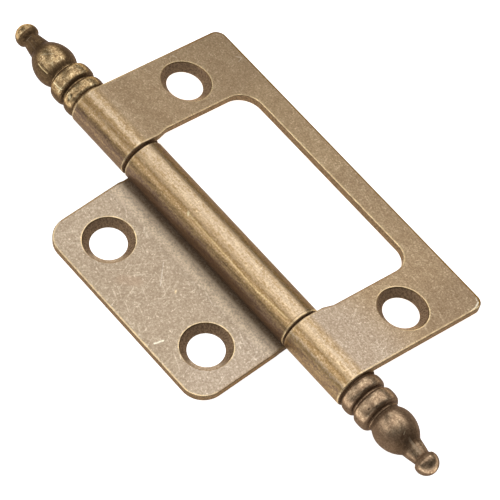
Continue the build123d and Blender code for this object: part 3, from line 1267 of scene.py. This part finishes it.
@dataclass(frozen=True)
class LeafFinish:
    """Antique brass of a rolled leaf.

    Attributes:
        name: Name of the material.
        tones: Colours of the flat sheet from dark to pale, its own at one half.
        left_painted_light: Painted light round the barrel on the left: levels of painted highlight and
            reflection by angle from the floor up and over.
        right_painted_light: The same on the right.
        marks: Scratches, stains, lighter and darker patches, and bands of painted light and painted shadow on
            the flat sheet.
        rolled_marks: Scratches of the barrel, and a painted reflection band and painted shade line at a
            knuckle's end.
        rolled_tones: Colours of the barrel by level, from painted shade to painted highlight.
        reflection_tint: Share of the gold tint round the barrel by angle, a painted tint of its reflections.
        gold: The gold tint.
        wall: Colour of the punched edges.
        crevice: Colour of the knuckles' ends, lightened as painted reflected light in the gaps.
        sink: Colour of the countersinks.
        far: Painted shade colour of the edges behind and round the countersink rims.
        bright: Colour of rubbed corners and of the painted glint on them.
        foot: Tarnish of the flat sheet where it meets the barrel.
        contrast: Strength of the mottling.
        cloud: Strength of the wider clouds in it.
        stain_width: Half width above which a mark tints the sheet and keeps its mottling.
    """

    name: str
    tones: Stops
    left_painted_light: Levels
    right_painted_light: Levels
    marks: tuple[Mark, ...]
    rolled_marks: tuple[Mark, ...]
    rolled_tones: Stops = (
        (0.0, (0.1, 0.064, 0.042)),
        (0.25, (0.2, 0.13, 0.088)),
        (0.5, (0.46, 0.31, 0.15)),
        (0.6, (0.535, 0.372, 0.205)),
        (0.7, (0.62, 0.468, 0.315)),
        (1.0, (0.88, 0.695, 0.45)),
    )
    reflection_tint: Levels = crown_levels(
        (
            *((-62, 0.0), (-46, 0.4), (-30, 0.9), (-22, 1.0), (-14, 0.4)),
            *((-6, 0.0), (10, 0.0), (18, 0.8), (52, 0.8), (64, 0.0)),
        )
    )
    gold: Colour = (1.05, 0.97, 0.82)
    wall: Colour = (0.24, 0.15, 0.08)
    crevice: Colour = (0.42, 0.285, 0.18)
    sink: Colour = (0.315, 0.205, 0.122)
    far: Colour = (0.285, 0.147, 0.022)
    bright: Colour = (1.0, 0.77, 0.44)
    foot: float = 0.0
    contrast: float = 1.0
    cloud: float = 0.17
    stain_width: float = 2.0

    def scratched(
        self, w: Wiring, effects: Effects, marks: tuple[Mark, ...], grain: Feed, colour: Feed
    ) -> Feed:
        """Lay marks on a colour, broken up by the grain; a wide one only tints the colour.

        Args:
            w: Where nodes are added.
            effects: The shared effects.
            marks: Marks to lay.
            grain: The fine grain.
            colour: Colour beneath.

        Returns:
            The marked colour.
        """
        blank = w.blank()
        broken = w.ramp(grain, 0.35, 0.6, 0.45, 1.0)
        own = self.tones[1][1]
        for mark in marks:
            line = mark.line(w, effects, blank)
            if mark.width > self.stain_width:
                tint = tuple(new / old for new, old in zip(mark.colour, own))
                colour = w.mix(w.times(line, 0.78 * mark.strength), colour, tint, "MULTIPLY")
            else:
                colour = w.mix(w.times(w.times(line, broken), mark.strength), colour, mark.colour)
        return colour

    def build(self, effects: Effects) -> bpy.types.Material:
        """Make the material.

        Args:
            effects: The shared effects.

        Returns:
            The material: the flat sheet's mottled tones and the barrel's tones, read off levels of painted
            light by angle round it, joined where the sheet leaves the barrel, with the wall's and the sink's
            colours, the painted shade of the edges behind, and the colour of rubbed edges with their
            painted glint on the piece's masks. Tarnish makes it rougher and less metallic.
        """
        material, w = new_material(self.name)
        place = w.place()
        grain, streak = w.group(effects.grain, Place=place), w.group(effects.streak, Place=place)
        fine = grain["Grain"]
        along, across, up = w.parts(w.vector("SUBTRACT", place, (0.0, *AXIS)).outputs[0])
        away = w.parts(w.blank())[1]
        rolled = w.ramp(away, -0.6, 0.9, 1.0, 0.0)
        angle = w.lift(w.math("ARCTAN2", across, up), 0.5 / math.pi, 0.5)
        # Painted light: levels by angle round the barrel that paint its highlights and reflections.
        left, right = w.levels(angle, self.left_painted_light), w.levels(angle, self.right_painted_light)
        crown = w.lift(w.math("GREATER_THAN", along, 0.0), w.math("SUBTRACT", right, left), left)

        speckle = w.lift(grain["Fleck"], 0.36, w.swing(fine, 1.12 * self.contrast))
        tone = w.lift(grain["Hair"], 0.2 * self.contrast**2, w.swing(grain["Cloud"], self.cloud, 0.455))
        sheet = w.colours(w.math("ADD", tone, speckle, clamp=True), self.tones)
        sheet = self.scratched(w, effects, self.marks, fine, sheet)
        streaky = w.swing(streak["Fine"], 0.55, w.swing(streak["Broad"], 0.16))
        fade = w.ramp(crown, 0.15, 0.5, 0.3, 1.0)
        level = w.lift(w.lift(speckle, 0.7, streaky), fade, crown, clamp=True)
        # Painted reflection tint: the gold tint by angle round the barrel.
        barrel = w.mix(w.levels(angle, self.reflection_tint), w.colours(level, self.rolled_tones), self.gold, "MULTIPLY")
        barrel = self.scratched(w, effects, self.rolled_marks, fine, barrel)

        colour = w.mix(rolled, sheet, barrel)
        uneven = w.ramp(fine, 0.3, 0.7, 0.62, 1.45)
        wall, far, sink = w.mask("wall"), w.mask("far"), w.mask("sink")
        # The knuckles' ends take the crevice colour, lightened as painted reflected light in the gaps.
        colour = w.mix(wall, colour, w.shaded(w.mix(rolled, self.wall, self.crevice), uneven))
        # Painted shade on the edges behind and round the countersink rims.
        colour = w.mix(far, colour, self.far)
        colour = w.mix(sink, colour, w.shaded(self.sink, uneven))
        # Rubbed bright edges, with a painted glint on those that face the front.
        wear = w.group(effects.wear, Mask=w.mask("edge"), Place=place)[0]
        colour = w.mix(wear, colour, self.bright)

        dull = w.math("MAXIMUM", w.times(wall, w.lift(rolled, 1.4, 0.8)), w.times(sink, 1.6))
        dull = w.times(dull, w.rest(far))
        rough = w.lift(wear, -0.1, w.lift(dull, 0.15, w.ramp(fine, 0.3, 0.7, 0.42, 0.3)))
        tarnish = w.math("MAXIMUM", dull, w.times(rolled, w.ramp(crown, 0.15, 0.5, 1.0, 0.0)))
        near = w.times(w.ramp(away, 3.2, 7.2, self.foot, 0.0), w.rest(rolled))
        tarnish = w.math("MAXIMUM", tarnish, near)
        inputs = {
            "Base Color": colour,
            "Metallic": w.lift(tarnish, -0.45, 1.0),
            "Roughness": rough,
            "Specular Tint": (0.75, 0.62, 0.48),
            "Specular IOR Level": 0.04,
        }
        w.finish(inputs, fine, (0.35, 0.00002))
        return material


@dataclass(frozen=True)
class FinialFinish:
    """Antique brass of a casting: gold where rubbed, dark brown in the dips and on its lower sides.

    Attributes:
        name: Name of the material.
        shift: Place along the pin at which the rubbed patches are read.
        marks: Pits and nicks, and bands of painted highlight, reflection and shade, in distance along the
            axis and three times the angle round it.
        tones: Colours from the deepest tarnish to bright metal.
        low: Level of the unrubbed metal.
        high: Level of the rubbed metal.
        seam: Rise of the level on the parting line.
        wrinkle: Strength of the fine wrinkles.
    """

    name: str
    shift: float
    marks: tuple[Mark, ...]
    tones: Stops = (
        (0.0, (0.06, 0.036, 0.019)),
        (0.25, (0.148, 0.09, 0.044)),
        (0.5, (0.34, 0.22, 0.108)),
        (0.75, (0.62, 0.43, 0.22)),
        (1.0, (0.98, 0.78, 0.46)),
    )
    low: float = 0.27
    high: float = 0.68
    seam: float = 0.6
    wrinkle: float = 1.0

    def build(self, effects: Effects) -> bpy.types.Material:
        """Make the material.

        Args:
            effects: The shared effects.

        Returns:
            The material, whose level runs from low to high with the rub mask and drops in the dips.
        """
        material, w = new_material(self.name)
        place, blank = w.place(), w.blank()
        grain = w.group(effects.grain, Place=place)
        fine = grain["Grain"]
        patch = w.noise(w.vector("ADD", place, (self.shift, 0.0, 0.0)).outputs[0], 3.2, 2.0, 0.6, 0.6)
        rubbed = w.ramp(w.swing(patch, 0.4, w.mask("rub")), 0.2, 0.85)
        level = w.lift(rubbed, self.high - self.low, self.low)
        wrinkle = w.math("ADD", fine, w.noise(place, 2.3, 1.0, 0.5, 1.2))
        strength = w.lift(rubbed, 0.65 * self.wrinkle, 0.35 * self.wrinkle)
        level = w.lift(w.math("SUBTRACT", wrinkle, 1.0), strength, level)
        level = w.lift(w.mask("dip"), -0.12, w.lift(grain["Fleck"], 0.16, level))
        colour = w.colours(w.lift(w.mask("seam"), self.seam, level, clamp=True), self.tones)
        height = w.lift(fine, 0.5, patch)
        for mark in self.marks:
            share = w.times(mark.line(w, effects, blank), mark.strength)
            colour = w.mix(share, colour, mark.colour)
            height = w.lift(share, -0.8, height)
        tarnish = w.rest(rubbed)
        inputs = {
            "Base Color": colour,
            "Metallic": w.lift(tarnish, -0.5, 1.0),
            "Roughness": w.lift(tarnish, 0.12, w.ramp(fine, 0.3, 0.7, 0.44, 0.32)),
            "Specular Tint": (0.42, 0.3, 0.2),
            "Specular IOR Level": 0.2,
        }
        w.finish(inputs, height, (0.5, 0.00004))
        return material


@dataclass(frozen=True)
class PinFinish:
    """Drawn steel of the pin, browned with age and streaked along its length.

    Attributes:
        name: Name of the material.
        dark: Colour of the browned steel.
        light: Colour of the barer streaks.
    """

    name: str = Slot.PIN.value
    dark: Colour = (0.10, 0.075, 0.055)
    light: Colour = (0.34, 0.28, 0.22)

    def build(self, effects: Effects) -> bpy.types.Material:
        """Make the material from the shared streaks and grain.

        Args:
            effects: The shared effects.

        Returns:
            The material.
        """
        material, w = new_material(self.name)
        place = w.place()
        streak, grain = w.group(effects.streak, Place=place), w.group(effects.grain, Place=place)
        share = w.lift(streak["Fine"], 0.8, w.lift(grain["Grain"], 0.6, -0.2), clamp=True)
        inputs = {
            "Base Color": w.mix(share, self.dark, self.light),
            "Metallic": 1.0,
            "Roughness": w.ramp(grain["Cloud"], 0.35, 0.65, 0.3, 0.48),
        }
        w.finish(inputs, streak["Fine"], (0.3, 0.00002))
        return material


def outer_finish() -> LeafFinish:
    """Describe the wide leaf's metal, with its own stains and scratches.

    Returns:
        The finish.
    """
    return LeafFinish(
        "outer_leaf_brass",
        ((0.0, (0.26, 0.165, 0.085)), (0.5, (0.505, 0.355, 0.213)), (1.0, (0.83, 0.66, 0.44))),
        # Painted light: levels by angle round the left and right knuckles that paint highlights and
        # reflections.
        crown_levels(
            (
                *((-150, 0.22), (-78, 0.26), (-70, 0.33), (-62, 0.25), (-54, 0.32), (-46, 0.44), (-38, 0.67)),
                *((-30, 0.62), (-22, 0.58), (-14, 0.56), (-6, 0.75), (2, 0.64), (12, 0.47), (170, 0.3)),
            )
        ),
        crown_levels(
            (
                *((-150, 0.28), (-86, 0.34), (-62, 0.35), (-54, 0.49), (-46, 0.7), (-38, 0.55), (-30, 0.51)),
                *((-22, 0.8), (-14, 0.71), (-6, 0.71), (2, 0.64), (12, 0.56), (170, 0.3)),
            )
        ),
        (
            # Painted light: a lighter patch by the right knuckle.
            Mark((30.0, 2.0), (24.0, 1.0), 11.0, 0.65, (0.61, 0.495, 0.395)),
            # A darker patch at the far right corner.
            Mark((31.0, 25.0), (31.0, 19.0), 9.0, 0.6, (0.34, 0.235, 0.145)),
            # Painted light: a lighter patch along the far left.
            Mark((-17.0, 23.5), (-3.0, 23.5), 5.0, 0.45, (0.64, 0.455, 0.265)),
            # Painted light: a lighter band beside the left knuckle.
            Mark((-20.0, 0.0), (-30.0, 0.0), 2.2, 0.5, (0.62, 0.46, 0.3)),
            # A darker band further from the left knuckle.
            Mark((-21.0, 3.8), (-31.0, 3.8), 2.7, 0.6, (0.4, 0.275, 0.16)),
            Mark((30.9, 24.9), (31.42, 23.85), 0.18, 1.0, (1.0, 0.9, 0.7)),
            Mark((31.42, 23.85), (31.6, 22.6), 0.16, 0.9, (1.0, 0.88, 0.64)),
            Mark((30.2, 25.1), (30.6, 24.95), 0.16, 0.9, (1.0, 0.9, 0.7)),
            Mark((-25.9, 24.2), (-25.2, 24.9), 0.14, 0.8),
            Mark((-25.2, 24.9), (-24.8, 23.9), 0.12, 0.7),
            Mark((-31.0, 15.3), (-30.7, 15.4), 0.18, 0.7),
            Mark((-30.4, 15.6), (-30.3, 15.5), 0.16, 0.7),
        ),
        (Mark((-19.35, -0.9), (-19.6, -0.8), 0.2, 0.9),),
        contrast=1.08,
        cloud=0.38,
    )


def inner_finish() -> LeafFinish:
    """Describe the metal of the narrow leaf and its long knuckle, with its own stains and scratches.

    Returns:
        The finish.
    """
    # Painted light: levels by angle round the long knuckle that paint its highlights and reflections.
    crown = crown_levels(
        (
            *((-170, 0.4), (-125, 0.34), (-100, 0.19), (-86, 0.22), (-62, 0.3), (-54, 0.41), (-46, 0.49)),
            *((-38, 0.59), (-30, 0.55), (-22, 0.78), (-14, 0.66), (-6, 0.72), (2, 0.74), (10, 0.66)),
            *((18, 0.8), (26, 0.6), (34, 0.33), (42, 0.27), (50, 0.27), (60, 0.22), (170, 0.2)),
        )
    )
    return LeafFinish(
        "inner_leaf_brass",
        ((0.0, (0.25, 0.172, 0.105)), (0.5, (0.47, 0.365, 0.26)), (1.0, (0.80, 0.68, 0.52))),
        crown,
        crown,
        (
            Mark((6.63, 17.92), (7.05, 16.6), 0.22, 1.0, (1.0, 0.93, 0.74)),
            Mark((-3.54, 8.03), (-0.66, 10.92), 0.1, 0.6, (0.86, 0.78, 0.66)),
            Mark((-0.38, 5.36), (3.4, 5.95), 0.09, 0.5, (0.8, 0.7, 0.56)),
            Mark((3.4, 5.95), (6.8, 6.92), 0.09, 0.45, (0.8, 0.7, 0.56)),
            Mark((1.42, 9.66), (1.7, 9.95), 0.22, 0.8, (0.95, 0.76, 0.46)),
            # Painted light: a lighter band beside the barrel's foot.
            Mark((-18.0, 5.0), (19.0, 4.8), 1.9, 0.78, (0.94, 0.755, 0.54)),
            # Painted shadow: a dark band along the barrel's foot.
            Mark((-18.0, 3.45), (19.0, 3.2), 1.15, 0.88, (0.185, 0.118, 0.07)),
            # Painted sheen: these two wide marks lighten the sheet towards its left and right ends.
            Mark((-17.0, 6.0), (-15.0, 15.0), 6.0, 0.55, (0.57, 0.45, 0.33)),
            Mark((16.5, 8.8), (16.0, 15.0), 6.2, 0.55, (0.58, 0.465, 0.36)),
            Mark((-9.3, 4.4), (-7.1, 5.8), 0.1, 0.5),
            Mark((-8.0, 5.1), (-6.3, 5.3), 0.1, 0.45),
            Mark((-5.0, 14.9), (-3.3, 13.2), 1.3, 0.3, (0.5, 0.33, 0.22)),
        ),
        (
            Mark((-5.7, -10.93), (10.9, -11.3), 0.14, 0.75, (0.85, 0.64, 0.33)),
            Mark((10.9, -11.3), (17.6, -10.85), 0.14, 0.85, (0.85, 0.64, 0.33)),
            # Painted reflection: a gold band at the long knuckle's right end.
            Mark((18.78, -3.5), (18.78, -14.4), 0.15, 0.9, (0.82, 0.6, 0.28)),
            # Painted shade: a dark line beside it, standing for the shaded gap.
            Mark((18.4, -6.0), (18.4, -12.6), 0.08, 0.6, (0.2, 0.13, 0.06)),
            Mark((-5.75, -10.8), (-5.4, -11.1), 0.22, 0.95, (0.95, 0.8, 0.5)),
        ),
        foot=2.0,
    )


def finial_finish(side: Side) -> FinialFinish:
    """Describe the metal of one finial: the left one is browner and shows its parting line more.

    Args:
        side: End of the barrel that it closes.

    Returns:
        The finish.
    """
    if side is Side.LEFT:
        marks = (
            Mark((1.45, 15.75), (1.5, 16.5), 0.34, 0.9, (0.07, 0.045, 0.025)),
            Mark((1.5, 16.1), (1.6, 16.2), 0.3, 1.0, (1.0, 0.82, 0.5)),
            Mark((3.56, 16.0), (5.35, 15.88), 0.13, 1.0, (1.0, 0.84, 0.52)),
            Mark((3.75, 16.2), (3.75, 15.4), 0.12, 0.9, (1.0, 0.84, 0.52)),
            Mark((4.1, 15.2), (5.2, 15.3), 0.5, 0.5, (0.12, 0.075, 0.04)),
            Mark((7.4, 15.9), (9.5, 16.05), 0.12, 1.0, (1.0, 0.78, 0.42)),
            Mark((7.5, 16.3), (9.3, 16.45), 0.1, 0.6, (0.08, 0.05, 0.03)),
            Mark((8.9, 18.6), (10.2, 17.2), 0.08, 0.6, (0.98, 0.84, 0.55)),
            Mark((10.6, 17.0), (9.9, 16.5), 0.08, 0.6, (0.08, 0.05, 0.03)),
            # Painted reflection: two lighter bands along the neck.
            Mark((12.5, 16.7), (14.5, 16.8), 0.3, 0.22, (0.34, 0.25, 0.17)),
            Mark((12.7, 17.9), (14.3, 18.0), 0.16, 0.2, (0.34, 0.25, 0.17)),
            # Painted highlight: a light line on the collar beside the ball.
            Mark((14.6, 18.9), (14.6, 16.2), 0.1, 0.35, (0.5, 0.4, 0.28)),
        )
        return FinialFinish("left_finial_brass", 2.9, marks)
    marks = (
        Mark((4.86, 16.92), (4.9, 16.98), 0.2, 0.9, (0.09, 0.055, 0.03)),
        Mark((11.0, 18.3), (11.3, 17.4), 0.3, 0.6, (0.12, 0.06, 0.03)),
        Mark((10.9, 18.5), (11.1, 18.1), 0.12, 0.7, (0.7, 0.55, 0.36)),
        # Painted highlight: a lighter band along the cone.
        Mark((12.3, 18.6), (14.2, 18.4), 0.7, 0.5, (0.53, 0.4, 0.27)),
        # Painted shade: a darker band along the cone beside it.
        Mark((12.3, 17.4), (14.3, 16.9), 0.6, 0.5, (0.13, 0.085, 0.05)),
    )
    tones = (
        (0.0, (0.06, 0.036, 0.021)),
        (0.25, (0.168, 0.102, 0.057)),
        (0.5, (0.36, 0.237, 0.146)),
        (0.75, (0.6, 0.42, 0.265)),
        (1.0, (0.92, 0.74, 0.48)),
    )
    return FinialFinish("right_finial_brass", 1.7, marks, tones, low=0.34, high=0.64, seam=0.12, wrinkle=0.7)


# Studio


@dataclass(frozen=True)
class Studio:
    """Pale floor, soft light and the camera at the photograph's viewing angle.

    Attributes:
        camera_place: Place of the camera.
        right: The picture's way to the right.
        down: The picture's way down.
        forward: Way that the camera looks.
        focal_pixels: Focal length in pixels of the photograph.
        frame_pixels: Width of the photograph in pixels.
        sensor: Width of the sensor in millimetres.
        floor_half: Half the floor's side, in metres.
        floor_drop: How far the floor lies below the hinge, in metres.
        lamp_size: Width of a lamp, in metres.
        lamp_distance: Distance of the lamps, in metres.
        lamps: Elevation and azimuth in degrees, and radiance, of each lamp.
    """

    camera_place: Triple = (200.87, -179.55, 451.23)
    right: Triple = (0.63455, 0.77088, 0.05552)
    down: Triple = (0.67624, -0.51899, -0.52283)
    forward: Triple = (-0.37423, 0.36931, -0.85063)
    focal_pixels: float = 3499.0
    frame_pixels: float = 500.0
    sensor: float = 36.0
    floor_half: float = 3.0
    floor_drop: float = 0.00001
    lamp_size: float = 0.22
    lamp_distance: float = 0.45
    lamps: tuple[Triple, ...] = (
        (90, 0, 1.5),
        (68, 135, 0.99),
        (68, 180, 0.92),
        (68, 225, 0.48),
        (46, 75, 1.04),
        (46, 105, 1.59),
        (46, 135, 0.85),
        (46, 255, 1.4),
        (25, 150, 1.47),
        (25, 210, 1.65),
        (27, 245, 0.9),
        (28, 325, 0.55),
    )

    def add_camera(self) -> None:
        """Set up the camera from its measured place and directions."""
        data = bpy.data.cameras.new("camera")
        data.sensor_width = self.sensor
        data.lens = self.focal_pixels * self.sensor / self.frame_pixels
        data.clip_start, data.clip_end = 0.01, 20.0
        camera = add_object("camera", data)
        place = Matrix.Identity(4)
        ways = Vector(self.right), -Vector(self.down), -Vector(self.forward)
        for column, vector in enumerate((*ways, Vector(self.camera_place) * MM)):
            for row in range(3):
                place[row][column] = vector[row]
        camera.matrix_world = place
        bpy.context.scene.camera = camera

    def add_floor(self) -> None:
        """Lay the white floor that the hinge rests on, which reads as pure white to the camera."""
        mesh = bpy.data.meshes.new("floor")
        half = self.floor_half
        corners = ((-half, -half, 0), (half, -half, 0), (half, half, 0), (-half, half, 0))
        mesh.from_pydata(corners, [], [(0, 1, 2, 3)])
        floor = add_object("floor", mesh)
        floor.location.z = -self.floor_drop
        material, w = new_material("floor_white")
        ray = w.node("ShaderNodeLightPath").outputs
        seen = w.math("ADD", ray["Is Camera Ray"], ray["Is Glossy Ray"])
        seen = w.math("ADD", seen, ray["Is Transmission Ray"])
        shader = material.node_tree.nodes["Principled BSDF"]
        shader.inputs["Base Color"].default_value = (0.9, 0.9, 0.9, 1.0)
        shader.inputs["Roughness"].default_value = 1.0
        shader.inputs["Specular IOR Level"].default_value = 0.0
        shader.inputs["Emission Color"].default_value = (1.0, 1.0, 1.0, 1.0)
        w.feed(shader.inputs["Emission Strength"], seen)
        mesh.materials.append(material)

    def add_light(self) -> None:
        """Hang the soft disk lamps.

        A disk of radius r that shines with radiance L gives L * pi^2 * r^2 watts.
        """
        for elevation, azimuth, radiance in self.lamps:
            up, about = math.radians(elevation), math.radians(azimuth)
            way = Vector((math.cos(up) * math.cos(about), math.cos(up) * math.sin(about), math.sin(up)))
            data = bpy.data.lights.new("lamp", "AREA")
            data.shape, data.size = "DISK", self.lamp_size
            data.energy = radiance * (math.pi * self.lamp_size / 2) ** 2
            lamp = add_object("lamp", data)
            lamp.rotation_mode = "QUATERNION"
            lamp.rotation_quaternion = way.to_track_quat("Z", "Y")
            lamp.location = way * self.lamp_distance
            lamp.visible_camera = False
        world = bpy.data.worlds.new("studio")
        bpy.context.scene.world = world
        world.use_nodes = True
        world.node_tree.nodes["Background"].inputs["Color"].default_value = (0.05, 0.05, 0.05, 1.0)


def build_leaves(effects: Effects) -> None:
    """Build both leaves and lay their finishes on them.

    Args:
        effects: The shared effects.
    """
    outer = OuterLeaf(
        "outer_leaf", "outer", (OUTER_MIDDLE, *AXIS), -13.161274, 25.696, 25.7475, 13.75,
        sinks_outside=True, bright_way=(0.45, -0.89), sink_way=(0.0, -1.0),
    )
    inner = InnerLeaf(
        "inner_leaf", "inner", (0.2, *AXIS), 180.0, 19.3, 11.725, 12.1,
        sinks_outside=False, bright_way=(0.1, 0.99), sink_way=(0.7, 0.7),
        outside_round=(0.08, 0.15), inside_round=(0.14, 0.08),
    )
    for leaf, finish in ((outer, outer_finish()), (inner, inner_finish())):
        piece = leaf.build()
        piece.data.materials.append(finish.build(effects))
        LOG.info("%s: %d triangles", piece.name, len(piece.data.polygons))


def build_finials(effects: Effects) -> None:
    """Build both finials and lay their finishes on them.

    Args:
        effects: The shared effects.
    """
    for side, parting_height, cone_rub in ((Side.LEFT, 0.12, 0.15), (Side.RIGHT, 0.02, 0.7)):
        place = (OUTER_MIDDLE + side.value * OUTER_HALF, *AXIS)
        piece = Finial(side, "outer", place, parting_height, cone_rub).build()
        piece.data.materials.append(finial_finish(side).build(effects))
        LOG.info("%s: %d triangles", piece.name, len(piece.data.polygons))


def finish_pin(effects: Effects) -> None:
    """Lay the steel's finish on the pin, which keeps its CAD mesh.

    Args:
        effects: The shared effects.
    """
    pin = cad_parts["hinge_pin"]
    pin.data.materials.clear()
    pin.data.materials.append(PinFinish().build(effects))
    LOG.info("%s: %d faces", pin.name, len(pin.data.polygons))


def main() -> None:
    """Build the hinge, the studio and the camera."""
    logging.basicConfig(level=logging.INFO, format="%(name)s: %(message)s")
    bpy.context.scene.view_settings.view_transform = "Standard"
    effects = Effects()
    build_leaves(effects)
    build_finials(effects)
    finish_pin(effects)
    studio = Studio()
    studio.add_floor()
    studio.add_light()
    studio.add_camera()


if __name__ == "__main__":
    main()
